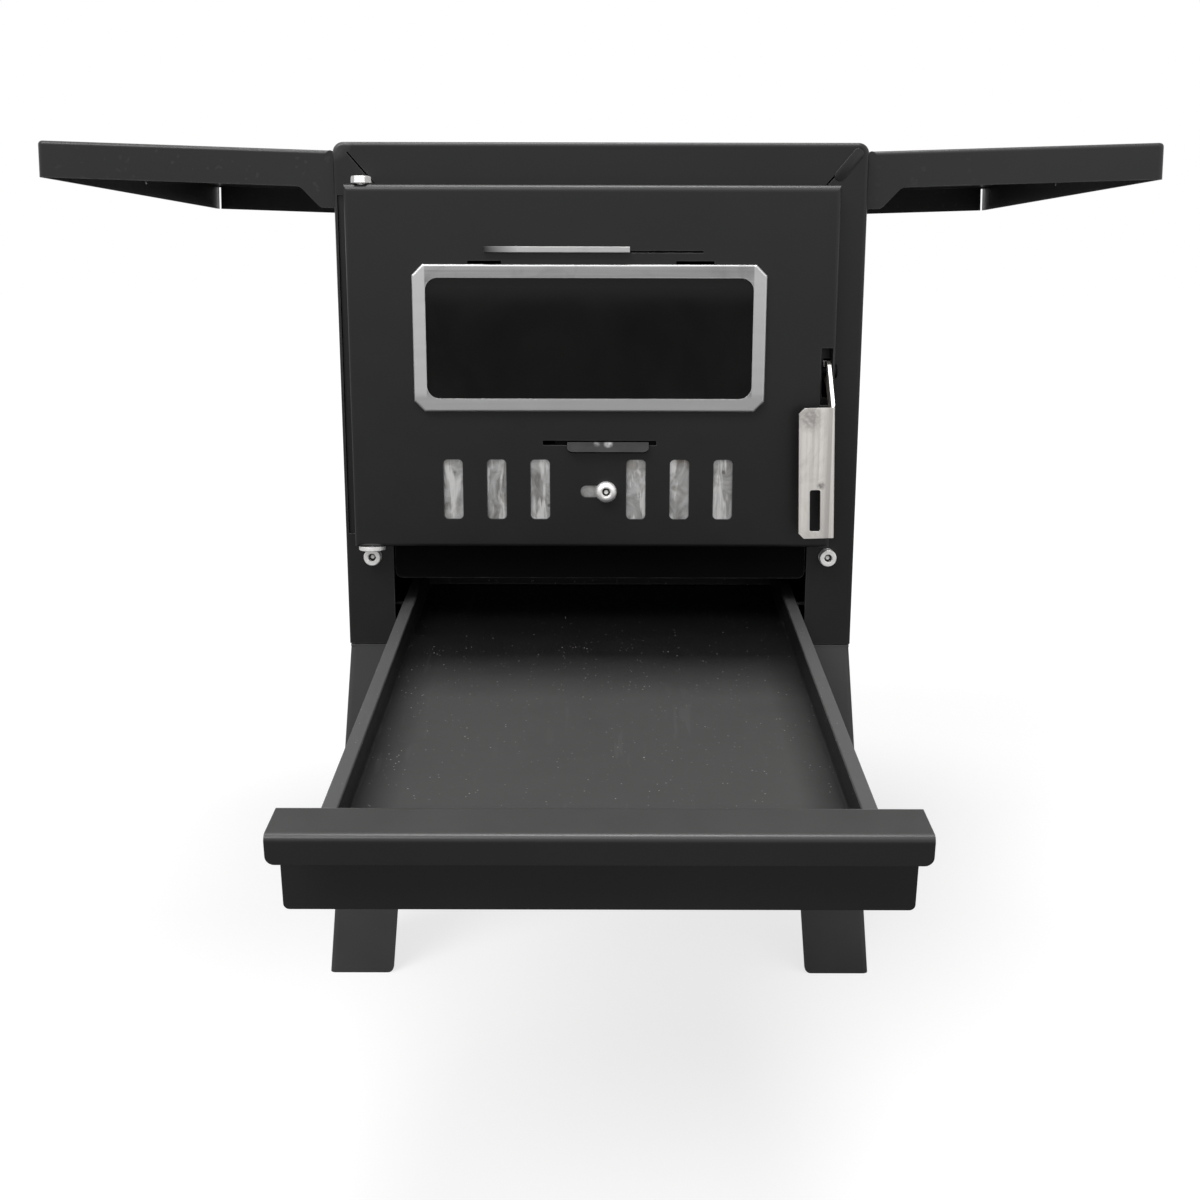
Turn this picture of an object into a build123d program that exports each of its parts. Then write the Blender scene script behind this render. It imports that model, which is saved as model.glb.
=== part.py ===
from build123d import *
import math
import os

os.makedirs("parts", exist_ok=True)

# Overall sizes of the welded steel body, in millimetres.
front_y = -52.07
body_half = 150.0
body_deep = 410.0
body_low = 206.0
body_top = 494.0
sheet = 2.0
stile = 28.0
opening_half = body_half - stile
rail_low = body_top - stile
corner_r = 6.0
edge_r = 2.5
screw_z = 259.4

# Legs.
leg_face = 39.0
leg_lean = 16.4
foot_half = 166.4
flange_low = body_low - sheet

# Ash drawer: it hangs out on the support rod and droops.
rod_y = 8.0
rod_z = body_low + 5.7
rod_r = 3.0
droop = 6.164
drawer_out = 293.2
tray_half = 112.0
tray_flange_half = 118.0
tray_low = rod_r + 0.3
tray_top = tray_low + 15.0
tray_rear = 78.0
front_gap = 9.5
panel_half = 129.1
panel_low = -11.0
handle_top = 35.0
handle_deep = 24.0
handle_lip = 12.5
thin = 1.5
tin = 1.2

# Firebox.
floor_z = body_low + 40.0
lintel_half = 121.2
lintel_top = floor_z + 30.0
grate_half = 104.0
grate_front = 60.0
grate_rear = 350.0
baffle_z = 440.0
flue_y = 312.0
flue_r = 45.0
flue_deep = 35.0

# Door.
door_left = -142.3
door_right = 132.9
door_low = 267.5
door_top = 470.6
door_face = -14.0
door_back = -1.5
bend_side = 2.5
bend_top = 4.0
bend_low = 2.0
pivot_x = -133.0
pivot_y = -8.5
pivot_r = 3.0
back_of_face = door_face + thin

# Window.
window_x = -6.3
window_z = 386.6
frame_w = 198.3
frame_h = 81.8
frame_border = 7.5
frame_face = -17.6
glass_w = 190.0
glass_h = 73.0
glass_front = -15.4
glass_t = 4.0

# Air openings of the door.
vent_mid = -7.0
vent_offsets = (-77.5, -52.5, -27.5, 27.5, 52.5, 77.5)
vent_w = 11.0
vent_low = 283.9
vent_high = 318.3
air_travel = 11.5
knob_x = 3.4
knob_z = 300.0
lower_slot_z = 327.9
upper_slot_z = 434.3

# Latch.
latch_y = -8.0
latch_z = 368.4
latch_left = 128.9
latch_right = 130.9
grip_left = 110.8
grip_face = -31.0
grip_low = 276.0
grip_top = 349.8
latch_pin_r = 2.5
latch_lean = 1.5

# Side shelves.
shelf_tilt = 1.8
hinge_x = 152.6
hinge_z = 487.7
knuckle_r = 2.3
pin_r = 1.25
shelf_reach = 165.2
shelf_front = 8.5
shelf_rear = 406.5
shelf_deep = 20.0
ear_deep = 31.4
knuckles = 9
knuckle_pitch = 42.0
running = 0.05

# Working planes: the floor, the body's front seen from the front, and the body's side.
ground = Plane(origin=(0, front_y, 0), x_dir=(1, 0, 0), z_dir=(0, 0, 1))
face = Plane(origin=(0, front_y, 0), x_dir=(1, 0, 0), z_dir=(0, -1, 0))
side = Plane(origin=(0, front_y, 0), x_dir=(0, 1, 0), z_dir=(1, 0, 0))
droop_sin = math.sin(math.radians(droop))
droop_cos = math.cos(math.radians(droop))
rod_line = (0, front_y + rod_y, rod_z)
drawer = Plane(origin=rod_line, x_dir=(1, 0, 0), z_dir=(0, -droop_sin, droop_cos))
tilt_sin = math.sin(math.radians(shelf_tilt))
tilt_cos = math.cos(math.radians(shelf_tilt))
hinge_line = (hinge_x, front_y, hinge_z)
shelf = Plane(origin=hinge_line, x_dir=(tilt_cos, 0, tilt_sin), z_dir=(-tilt_sin, 0, tilt_cos))
shelf_end = Plane(origin=hinge_line, x_dir=(tilt_cos, 0, tilt_sin), z_dir=(0, -1, 0))


def block(plane, u, v, w, mode=Mode.ADD, r=0.0):
    """A block between pairs of limits along a plane's own axes, its outline corners rounded by r."""
    with BuildSketch(plane.offset(w[0])) as base:
        with Locations(((u[0] + u[1]) / 2, (v[0] + v[1]) / 2)):
            if r:
                RectangleRounded(u[1] - u[0], v[1] - v[0], r)
            else:
                Rectangle(u[1] - u[0], v[1] - v[0])
    extrude(base.sketch, amount=w[1] - w[0], mode=mode)


def disc(plane, u, v, r, w, mode=Mode.ADD):
    """A round bar or hole of radius r between two heights over a plane."""
    with BuildSketch(plane.offset(w[0])) as base:
        with Locations((u, v)):
            Circle(r)
    extrude(base.sketch, amount=w[1] - w[0], mode=mode)


def hexagon(plane, u, v, flats, w, mode=Mode.ADD):
    """A hexagonal prism, by its width across flats."""
    with BuildSketch(plane.offset(w[0])) as base:
        with Locations((u, v)):
            RegularPolygon(flats / 2, 6, major_radius=False)
    extrude(base.sketch, amount=w[1] - w[0], mode=mode)


def shape(plane, points, w, mode=Mode.ADD):
    """A prism over a polygon drawn on a plane."""
    with BuildSketch(plane.offset(w[0])) as base:
        with BuildLine():
            Polyline(*points, close=True)
        make_face()
    extrude(base.sketch, amount=w[1] - w[0], mode=mode)


def pan(u, v, w, side_r, top_r, low_r):
    """A block between a front and a back face whose front edges are bends that meet in mitres."""
    with BuildSketch(side.offset(u[0])) as section:
        with Locations(((w[0] + w[1]) / 2, (v[0] + v[1]) / 2)):
            Rectangle(w[1] - w[0], v[1] - v[0])
        fillet(section.vertices().group_by(Axis.X)[0].sort_by(Axis.Y)[-1], top_r)
        fillet(section.vertices().group_by(Axis.X)[0].sort_by(Axis.Y)[0], low_r)
    extrude(section.sketch, amount=u[1] - u[0])
    with BuildSketch(ground.offset(v[0])) as plan:
        with Locations(((u[0] + u[1]) / 2, (w[0] + w[1]) / 2)):
            Rectangle(u[1] - u[0], w[1] - w[0])
        fillet(plan.vertices().group_by(Axis.Y)[0], side_r)
    extrude(plan.sketch, amount=v[1] - v[0], mode=Mode.INTERSECT)


def at(edges, plane, u=None, v=None, w=None, tol=0.06):
    """The edges whose middle has the given coordinates in a plane's own axes."""
    found = ShapeList()
    for edge in edges:
        spot = plane.to_local_coords(edge.position_at(0.5))
        wanted = ((spot.X, u), (spot.Y, v), (spot.Z, w))
        if all(goal is None or abs(value - goal) < tol for value, goal in wanted):
            found.append(edge)
    return found


# Body casing: one folded sheet for the top and sides, with front flanges mitred at the top corners.
with BuildPart() as casing:
    block(face, (-body_half, body_half), (body_low, body_top), (-body_deep, 0))
    fillet(casing.edges().filter_by(Axis.Y).group_by(Axis.Z)[-1], corner_r)
    front_edges = casing.faces().sort_by(Axis.Y)[0].edges()
    fillet(front_edges.sort_by(Axis.Z)[1:], edge_r)
    inner_half = body_half - sheet
    with BuildSketch(face.offset(-body_deep)) as hollow:
        with Locations((0, (body_low + body_top - sheet) / 2)):
            Rectangle(2 * inner_half, body_top - sheet - body_low)
        fillet(hollow.vertices().group_by(Axis.Y)[-1], corner_r - sheet)
    extrude(hollow.sketch, amount=body_deep - sheet, mode=Mode.SUBTRACT)
    block(face, (-opening_half, opening_half), (body_low, rail_low), (-5, 5), Mode.SUBTRACT)
    disc(ground, 0, flue_y, flue_r + sheet, (body_top - 5, body_top + 5), Mode.SUBTRACT)
    for s in (-1, 1):
        seam = ((120.5, 465.0), (121.2, 464.4), (142.1, 488.2), (141.5, 488.7))
        shape(face, [(s * x, z) for x, z in seam], (-5, 5), Mode.SUBTRACT)
        disc(face, s * 134.0, screw_z, 3.2, (-5, 5), Mode.SUBTRACT)
    block(face, (127.6, 132.2), (353.0, 375.2), (-5, 5), Mode.SUBTRACT, r=1.5)
    block(face, (-148.0, -128.5), (272.8, 465.1), (-5, 5), Mode.SUBTRACT)
    block(face, (-143.0, -128.5), (door_low - 0.6, door_top + 0.4), (-5, 5), Mode.SUBTRACT)

with BuildPart() as rear_panel:
    span = body_half - sheet
    block(face, (-span, span), (body_low + sheet, body_top - sheet), (-body_deep, sheet - body_deep))
    fillet(rear_panel.edges().filter_by(Axis.Y).group_by(Axis.Z)[-1], corner_r - sheet)

leg_bolts = [(x, y) for x, y in ((138.0, 14.0), (122.0, 30.0))]
leg_bolts += [(x, body_deep - y) for x, y in leg_bolts]
leg_bolts += [(-x, y) for x, y in leg_bolts]

with BuildPart() as bottom_plate:
    block(ground, (-span, span), (sheet + 0.2, body_deep - sheet), (body_low, body_low + sheet))
    for s in (-1, 1):
        ear = sorted((s * 126.0, s * 128.0))
        block(ground, ear, (3.0, 13.0), (body_low + 1, rod_z + 5.0))
    disc(side, rod_y, rod_z, rod_r + running, (-130, 130), Mode.SUBTRACT)
    for x, y in leg_bolts:
        disc(ground, x, y, 3.2, (body_low - 1, body_low + sheet + 1), Mode.SUBTRACT)

with BuildPart() as support_rod:
    disc(side, rod_y, rod_z, rod_r, (-129.5, 129.5))
    chamfer(support_rod.edges(), 0.4)

rail_top = rod_z + tray_top - tin - 0.4
with BuildPart() as rail_right:
    block(ground, (113.0, 147.9), (14.0, 404.0), (rail_top - 7 * sheet, rail_top))
    block(ground, (112.0, 146.4), (13.0, 405.0), (rail_top - 20, rail_top - thin), Mode.SUBTRACT)

with BuildPart() as rail_left:
    mirror(rail_right.part, about=Plane.YZ)

# Short angles over the drawer's flanges, which hold its tail down when it is pulled out.
stop_y = (68.0, 80.0)
stop_low = rod_z + tray_top * droop_cos + (stop_y[1] - rod_y) * droop_sin + 0.7
with BuildPart() as drawer_stops:
    for s in (-1, 1):
        arm = sorted((s * 114.0, s * 147.9))
        root = sorted((s * 145.9, s * 147.9))
        block(ground, arm, stop_y, (stop_low, stop_low + thin))
        block(ground, root, stop_y, (stop_low, stop_low + 6.0))

with BuildPart() as firebox_floor:
    block(face, (-lintel_half, lintel_half), (floor_z, lintel_top), (-2.5, -1.0), r=4.0)
    floor_band = (floor_z + 4.5, floor_z + 6.0)
    block(ground, (-lintel_half, lintel_half), (1.0, 2.5), floor_band)
    block(ground, (-147.9, 147.9), (2.5, 407.9), floor_band)
    hole = (grate_front + 12, grate_rear - 12)
    block(ground, (12 - grate_half, grate_half - 12), hole, (floor_z, floor_z + 9), Mode.SUBTRACT, r=6.0)

with BuildPart() as crossbar:
    block(face, (-145.0, 145.0), (screw_z - 6.9, screw_z + 7.1), (-5.5, -2.5))
    for s in (-1, 1):
        disc(face, s * 134.0, screw_z, 3.0, (-6, 0), Mode.SUBTRACT)

with BuildPart() as cap_screws:
    for s in (-1, 1):
        disc(face, s * 134.0, screw_z, 5.0, (0.0, 6.0))
        disc(face, s * 134.0, screw_z, 3.0, (-9.0, 0.5))
        hexagon(face, s * 134.0, screw_z, 5.0, (2.8, 7.0), Mode.SUBTRACT)
    fillet(at(cap_screws.edges().filter_by(GeomType.CIRCLE), face, w=6.0), 0.8)

# Fire grate: a ribbed cast plate lying over the hole of the firebox floor.
grate_z = floor_z + 6.0
with BuildPart() as grate:
    span_y = (grate_front, grate_rear)
    block(ground, (-grate_half, grate_half), span_y, (grate_z, grate_z + 6), r=5.0)
    slot_x = [-84.0 + 14.0 * i for i in range(13)]
    for x in slot_x:
        for low, high in ((76.0, 200.0), (210.0, 334.0)):
            block(ground, (x - 4, x + 4), (low, high), (grate_z - 1, grate_z + 8), Mode.SUBTRACT, r=3.9)

with BuildPart() as baffle_plate:
    block(ground, (-146.0, 146.0), (190.0, 405.0), (baffle_z, baffle_z + 3), r=3.0)

with BuildPart() as baffle_brackets:
    for s in (-1, 1):
        shelf_leg = sorted((s * 132.0, s * 147.9))
        wall_leg = sorted((s * 146.4, s * 147.9))
        block(ground, shelf_leg, (195.0, 400.0), (baffle_z - thin, baffle_z))
        block(ground, wall_leg, (195.0, 400.0), (baffle_z - 14.0, baffle_z - thin))

# Flue socket: a tube that hangs inside the top plate, with a flange under the sheet.
with BuildPart() as flue_collar:
    disc(ground, 0, flue_y, flue_r + sheet, (body_top - flue_deep, body_top))
    disc(ground, 0, flue_y, flue_r + 15, (body_top - 2 * sheet, body_top - sheet))
    disc(ground, 0, flue_y, flue_r, (body_top - flue_deep - 1, body_top + 1), Mode.SUBTRACT)

# Door hinge: ears on the left stile, an upper bolt and a lower headed pin.
# The stile is cut away where the door's left bend swings through it, and a plate closes the cut from behind.
ears = ((270.3, 272.8), (465.1, 467.6))
ear_r = 3.7
with BuildPart() as hinge_ears:
    for low, high in ears:
        disc(ground, pivot_x, pivot_y, ear_r, (low, high))
        arm = [(pivot_x, -12.2), (-124.0, -12.2), (-124.0, 0), (-128.0, 0), (-128.0, -4.8), (pivot_x, -4.8)]
        shape(ground, arm, (low, high))
        disc(ground, pivot_x, pivot_y, pivot_r, (low - 1, high + 1), Mode.SUBTRACT)

with BuildPart() as hinge_plate:
    block(face, (-147.9, -123.0), (267.0, 474.0), (-sheet - thin, -sheet), r=1.0)

with BuildPart() as hinge_bolt:
    hexagon(ground, pivot_x, pivot_y, 10.0, (door_top + 0.3, door_top + 4.3))
    disc(ground, pivot_x, pivot_y, pivot_r, (461.5, door_top + 1))
    cap = hinge_bolt.faces().sort_by(Axis.Z)[-1]
    chamfer(cap.edges(), 0.6)

with BuildPart() as hinge_pin:
    disc(ground, pivot_x, pivot_y, 7.8, (door_low - 2.8, door_low - 0.3))
    disc(ground, pivot_x, pivot_y, pivot_r, (door_low - 0.5, 276.5))
    fillet(hinge_pin.faces().sort_by(Axis.Z)[0].edges(), 0.6)

# Door: one folded sheet pan with its openings.
window_cut = (glass_w / 2 + 0.5, glass_h / 2 + 0.5)
tab_spans = ((-74.5, -55.5), (42.0, 63.4))
with BuildPart() as door_inside:
    u = (door_left + thin, door_right - thin)
    v = (door_low + thin, door_top - thin)
    pan(u, v, (back_of_face, door_back + 1), bend_side - thin, bend_top - thin, bend_low - thin)

with BuildPart() as door_panel:
    outline = ((door_left, door_right), (door_low, door_top), (door_face, door_back))
    pan(*outline, bend_side, bend_top, bend_low)
    add(door_inside.part, mode=Mode.SUBTRACT)
    block(ground, (door_left - 1, pivot_x), (pivot_y, 0), (door_low - 1, door_top + 1), Mode.SUBTRACT)
    flange_r = door_back - pivot_y
    for low in (door_low, door_top - thin):
        with BuildSketch(ground.offset(low)) as quarter:
            with Locations((pivot_x, pivot_y)):
                Circle(flange_r)
                Rectangle(flange_r, flange_r, align=(Align.MAX, Align.MIN), mode=Mode.INTERSECT)
        extrude(quarter.sketch, amount=thin)
    disc(ground, pivot_x, pivot_y, pivot_r + running, (door_low - 1, door_top + 1), Mode.SUBTRACT)
    u = (window_x - window_cut[0], window_x + window_cut[0])
    v = (window_z - window_cut[1], window_z + window_cut[1])
    block(face, u, v, (11, 15), Mode.SUBTRACT, r=3.0)
    for offset in vent_offsets:
        u = (vent_mid + offset - vent_w / 2, vent_mid + offset + vent_w / 2)
        block(face, u, (vent_low, vent_high), (11, 15), Mode.SUBTRACT, r=2.5)
    block(face, (-11.3, 6.7), (296.7, 303.3), (11, 15), Mode.SUBTRACT, r=3.2)
    block(face, (-32.9, 32.1), (lower_slot_z - 1.3, lower_slot_z + 1.3), (11, 15), Mode.SUBTRACT, r=0.6)
    block(face, (-65.2, 57.3), (upper_slot_z - 0.5, upper_slot_z + 0.5), (11, 15), Mode.SUBTRACT, r=0.4)
    for left, right in tab_spans:
        block(face, (left, right), (425.4, 429.3), (11, 15), Mode.SUBTRACT, r=0.4)
        block(face, (left, right), (347.0, 348.9), (11, 15), Mode.SUBTRACT, r=0.4)
    block(face, (124.7, door_right - thin), (349.6, 381.6), (8.0, 15), Mode.SUBTRACT)
    disc(side, latch_y, latch_z, latch_pin_r, (door_right - 3, door_right + 1), Mode.SUBTRACT)

frame_u = (window_x - frame_w / 2, window_x + frame_w / 2)
frame_v = (window_z - frame_h / 2, window_z + frame_h / 2)
with BuildPart() as window_frame:
    with BuildSketch(face.offset(14.1)) as rim:
        with Locations((window_x, window_z)):
            Rectangle(frame_w, frame_h)
        chamfer(rim.vertices(), 6.0)
    extrude(rim.sketch, amount=-frame_face - 14.1)
    fillet(window_frame.faces().sort_by(Axis.Y)[0].edges(), 1.4)
    with BuildSketch(face.offset(14.0)) as lining:
        with Locations((window_x, window_z)):
            Rectangle(frame_w - 2.4, frame_h - 2.4)
        chamfer(lining.vertices(), 5.5)
    extrude(lining.sketch, amount=1.6, mode=Mode.SUBTRACT)
    inset = frame_border
    u = (frame_u[0] + inset, frame_u[1] - inset)
    v = (frame_v[0] + inset, frame_v[1] - inset)
    block(face, u, v, (13, 19), Mode.SUBTRACT, r=7.0)
    for left, right in tab_spans:
        u = (left + 1.2, right - 1.2)
        block(face, u, (425.6, 426.8), (7.5, 16.0))
        block(face, u, (421.0, 426.8), (7.5, 8.7))
        block(face, u, (347.5, 348.7), (7.5, 16.0))
        block(face, u, (347.5, 353.3), (7.5, 8.7))

glass_u = (window_x - glass_w / 2, window_x + glass_w / 2)
glass_v = (window_z - glass_h / 2, window_z + glass_h / 2)
glass_back = -glass_front - glass_t
with BuildPart() as glass_pane:
    block(face, glass_u, glass_v, (glass_back, -glass_front), r=2.5)
    chamfer(at(glass_pane.edges(), face, w=-glass_front), 0.3)

with BuildPart() as glass_seal:
    block(face, glass_u, glass_v, (glass_back - 1, glass_back), r=2.5)
    u = (glass_u[0] + 7, glass_u[1] - 7)
    v = (glass_v[0] + 7, glass_v[1] - 7)
    block(face, u, v, (5, 15), Mode.SUBTRACT, r=3.0)

with BuildPart() as glass_retainer:
    u = (window_x - 95.5, window_x + 95.5)
    v = (window_z - 38.0, window_z + 38.0)
    block(face, u, v, (8.8, glass_back - 1.0), r=3.0)
    u = (glass_u[0] + 8, glass_u[1] - 8)
    v = (glass_v[0] + 8, glass_v[1] - 8)
    block(face, u, v, (5, 15), Mode.SUBTRACT, r=3.0)

# Guides for the sliding plates: strips spot-welded on the back of the door, lipped over the plates.
slide_front = -back_of_face - 0.1
slide_back = slide_front - 1.2
guide_rows = (
    (-112.0, 98.0, 277.0, 281.2, 277.0, 284.0),
    (-112.0, 98.0, 320.3, 325.2, 317.6, 326.9),
    (-50.0, 50.0, 336.4, 339.6, 334.0, 339.6),
    (-84.0, 112.0, 429.9, 432.0, 429.9, 433.0),
    (-84.0, 112.0, 443.3, 446.5, 440.5, 446.5),
)
with BuildPart() as slide_guides:
    for left, right, base_low, base_high, lip_low, lip_high in guide_rows:
        block(face, (left, right), (base_low, base_high), (slide_back - 0.1, -back_of_face))
        block(face, (left, right), (lip_low, lip_high), (slide_back - 1.1, slide_back - 0.1))

with BuildPart() as air_slider:
    block(face, (-93.0, 90.8), (281.5, 320.0), (slide_back, slide_front), r=1.5)
    for offset in vent_offsets:
        middle = vent_mid + offset + air_travel
        block(face, (middle - 5.5, middle + 5.5), (vent_low, vent_high), (9, 15), Mode.SUBTRACT, r=2.5)
    disc(face, knob_x, knob_z, 3.0, (9, 15), Mode.SUBTRACT)

with BuildPart() as knob_screw:
    disc(face, knob_x, knob_z, 6.0, (14.3, 19.3))
    fillet(knob_screw.faces().sort_by(Axis.Y)[0].edges(), 3.2)
    disc(face, knob_x, knob_z, 3.0, (5.0, 15.0))
    hexagon(face, knob_x, knob_z, 4.0, (16.4, 20.0), Mode.SUBTRACT)

with BuildPart() as knob_nut:
    hexagon(face, knob_x, knob_z, 10.0, (slide_back - 4.6, slide_back))
    disc(face, knob_x, knob_z, 3.0, (0, 15), Mode.SUBTRACT)
    chamfer(knob_nut.faces().sort_by(Axis.Y)[-1].outer_wire().edges(), 0.5)

# Two stainless tabs ride in slots of the door and move plates behind it.
with BuildPart() as airwash_lower:
    block(face, (-26.0, 34.6), (325.5, 336.1), (slide_back, slide_front), r=1.0)
    z = lower_slot_z
    tab = [(-11.4, z - 0.6), (-11.4, z + 0.6), (-15.0, z + 0.6), (-18.6, z - 4.6), (-17.6, z - 5.3), (-14.6, z - 0.6)]
    shape(side, tab, (-18.9, 27.6))
    nose = at(airwash_lower.edges(), side, u=-18.1, v=z - 4.95, tol=0.3)
    fillet(nose, 3.0)

with BuildPart() as airwash_upper:
    block(face, (-76.0, 27.0), (432.3, 443.0), (slide_back, slide_front), r=1.0)
    z = upper_slot_z
    tab = [(-11.4, z - 0.4), (-11.4, z + 0.4), (-16.6, z + 0.4), (-16.8, z + 2.7), (-17.6, z + 2.7), (-17.4, z - 0.4)]
    shape(side, tab, (-65.0, 16.1))

# Latch: a bent stainless lever on a pin inside the door's right edge.
with BuildPart() as latch_bracket:
    block(side, (back_of_face, -3.0), (358.5, 378.5), (124.0, 125.5))
    block(side, (back_of_face, back_of_face + 1.5), (358.5, 378.5), (114.0, 125.5))
    disc(side, latch_y, latch_z, latch_pin_r, (120, 127), Mode.SUBTRACT)

with BuildPart() as latch_pin:
    disc(side, latch_y, latch_z, latch_pin_r, (123.4, door_right + 1.0))
    disc(side, latch_y, latch_z, 4.2, (door_right, door_right + 1.8))
    fillet(latch_pin.faces().sort_by(Axis.X)[-1].edges(), 1.2)

lever = [
    (grip_face, grip_low + 3), (grip_face, grip_top), (-14.5, 372.4), (-11.0, 374.3), (-5.0, 374.3),
    (-2.6, 370.0), (2.6, 370.0), (2.6, 374.0), (6.6, 373.2), (6.6, 363.6), (1.5, 361.6),
    (-7.0, 361.0), (-15.5, 353.0), (-21.5, 341.0), (-23.5, 300.0), (-26.0, grip_low),
    (grip_face + 2.6, grip_low),
]
with BuildPart() as latch_lever:
    shape(side, lever, (latch_left, latch_right))
    block(face, (grip_left, latch_right), (grip_low, grip_top), (-grip_face - sheet, -grip_face))
    corner = at(latch_lever.edges(), face, u=latch_right, w=-grip_face)
    fillet(corner, 1.6)
    for v in (grip_low, grip_top):
        chamfer(at(latch_lever.edges(), face, u=grip_left, v=v, w=-grip_face - 1.0), 3.0)
    block(face, (117.0, 123.0), (280.1, 303.7), (25, 35), Mode.SUBTRACT, r=1.2)

# The lever hangs a little out of plumb.
lean_axis = Axis((latch_right, front_y, grip_top), (0, 1, 0))
with BuildPart() as latch_handle:
    add(latch_lever.part.rotate(lean_axis, -latch_lean))
    disc(side, latch_y, latch_z, latch_pin_r + running, (120, 135), Mode.SUBTRACT)

# Drawer tray and its folded front, both square to the drooping drawer plane.
tray_front = -front_gap - drawer_out
with BuildPart() as tray_inside:
    inner = tray_half - tin
    block(drawer, (-inner, inner), (tray_front + tin, tray_rear - tin), (tray_low + tin, tray_top + 1))
    fillet(at(tray_inside.edges(), drawer, w=tray_low + tin), 1.0)

with BuildPart() as drawer_tray:
    block(drawer, (-tray_half, tray_half), (tray_front, tray_rear), (tray_low, tray_top))
    fillet(at(drawer_tray.edges(), drawer, w=tray_low), 2.2)
    add(tray_inside.part, mode=Mode.SUBTRACT)
    for s in (-1, 1):
        lip = sorted((s * (tray_half - 0.1), s * tray_flange_half))
        block(drawer, lip, (tray_front, tray_rear), (tray_top - tin, tray_top))
        horn = sorted((s * (tray_half - tin), s * tray_flange_half))
        block(drawer, horn, (tray_rear - tin, tray_rear), (tray_top - tin, tray_top + 2.3))

handle_front = tray_front - thin - handle_deep
with BuildPart() as handle_inside:
    v = (handle_front + thin, tray_front - thin)
    block(drawer, (-panel_half - 1, panel_half + 1), v, (handle_top - 30, handle_top - thin))
    fillet(at(handle_inside.edges(), drawer, u=0, v=v[0], w=handle_top - thin), 1.5)
    fillet(at(handle_inside.edges(), drawer, u=0, v=v[1], w=handle_top - thin), 0.8)

with BuildPart() as drawer_front:
    block(drawer, (-panel_half, panel_half), (handle_front, tray_front), (handle_top - handle_lip, handle_top))
    fillet(at(drawer_front.edges(), drawer, u=0, v=handle_front, w=handle_top), 3.0)
    fillet(at(drawer_front.edges(), drawer, u=0, v=tray_front, w=handle_top), 2.2)
    add(handle_inside.part, mode=Mode.SUBTRACT)
    v = (tray_front - thin, tray_front)
    block(drawer, (-panel_half, panel_half), v, (panel_low, handle_top - 6))
    for s in (-1, 1):
        low = handle_top - handle_lip
        fillet(at(drawer_front.edges(), drawer, u=s * panel_half, v=handle_front + thin / 2, w=low), 3.6)
        fillet(at(drawer_front.edges(), drawer, u=s * panel_half, v=tray_front - thin / 2, w=panel_low), 2.5)

# Side shelves: folded pans on a rolled hinge, with deep ears that rest on the body's side.
knuckle_start = (body_deep - knuckles * knuckle_pitch) / 2
plate_low = knuckle_r - thin
with BuildPart() as shelf_right:
    pan = (knuckle_r - shelf_deep, knuckle_r)
    block(shelf, (0, shelf_reach), (shelf_front, shelf_rear), pan)
    for v in (shelf_front, shelf_rear):
        fillet(at(shelf_right.edges(), shelf, u=shelf_reach, v=v), 3.5)
    rims = at(shelf_right.edges(), shelf, w=knuckle_r)
    rims = [edge for edge in rims if shelf.to_local_coords(edge.position_at(0.5)).X > 1]
    fillet(rims, 2.2)
    inner = (shelf_front + thin, shelf_rear - thin)
    block(shelf, (-9, shelf_reach - thin), inner, (-40, plate_low), Mode.SUBTRACT)
    for v in ((shelf_front, shelf_front + thin), (shelf_rear - thin, shelf_rear)):
        wall_x = -2.4
        toe = knuckle_r - ear_deep
        ear = [
            (wall_x, 0), (wall_x + tilt_sin * toe, toe), (5.2, toe), (7.0, toe + 1.2),
            (16.2, pan[0] - 1.2), (19.0, pan[0]), (22.0, pan[0] + 3), (2.0, plate_low + 0.4), (0, 1.9),
        ]
        shape(shelf_end, ear, (-v[1], -v[0]))
        disc(shelf_end, 0, 0, knuckle_r, (-v[1], -v[0]))
    slit = (shelf_reach - thin - 1.8, shelf_reach - thin - 0.2)
    block(shelf, slit, (shelf_rear - thin - 0.2, shelf_rear + 1), (pan[0] - 1, -0.5), Mode.SUBTRACT)
    for i in range(knuckles):
        start = knuckle_start + i * knuckle_pitch
        if i % 2:
            disc(shelf_end, 0, 0, knuckle_r, (0.5 - start - knuckle_pitch, -start - 0.5))
        else:
            low = max(start - 0.5, shelf_front + thin)
            high = min(start + knuckle_pitch + 0.5, shelf_rear - thin)
            block(shelf, (-5, knuckle_r + 0.5), (low, high), (-5, 5), Mode.SUBTRACT)
    disc(shelf_end, 0, 0, pin_r + running, (-shelf_rear + thin, -shelf_front - thin), Mode.SUBTRACT)
    hole_plane = Plane(origin=hinge_line, x_dir=(0, 1, 0), z_dir=(tilt_cos, 0, tilt_sin))
    disc(hole_plane, 207.0, -8.0, 2.3, (shelf_reach - 4, shelf_reach + 2), Mode.SUBTRACT)

with BuildPart() as shelf_left:
    mirror(shelf_right.part, about=Plane.YZ)

leaf_low = hinge_z - 22.0
with BuildPart() as shelf_hinge_right:
    leaf = (knuckle_start + 2, body_deep - knuckle_start - 2)
    block(ground, (body_half, body_half + 1.2), leaf, (leaf_low, hinge_z - knuckle_r - 0.4))
    for i in range(0, knuckles, 2):
        start = knuckle_start + i * knuckle_pitch + 0.5
        stop = start + knuckle_pitch - 1.0
        start = max(start, leaf[0])
        stop = min(stop, leaf[1])
        disc(shelf_end, 0, 0, knuckle_r, (-stop, -start))
        block(ground, (body_half, body_half + 1.2), (start, stop), (leaf_low, hinge_z - 0.4))
    disc(shelf_end, 0, 0, pin_r, (-body_deep, 0), Mode.SUBTRACT)

with BuildPart() as shelf_hinge_left:
    mirror(shelf_hinge_right.part, about=Plane.YZ)

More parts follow.
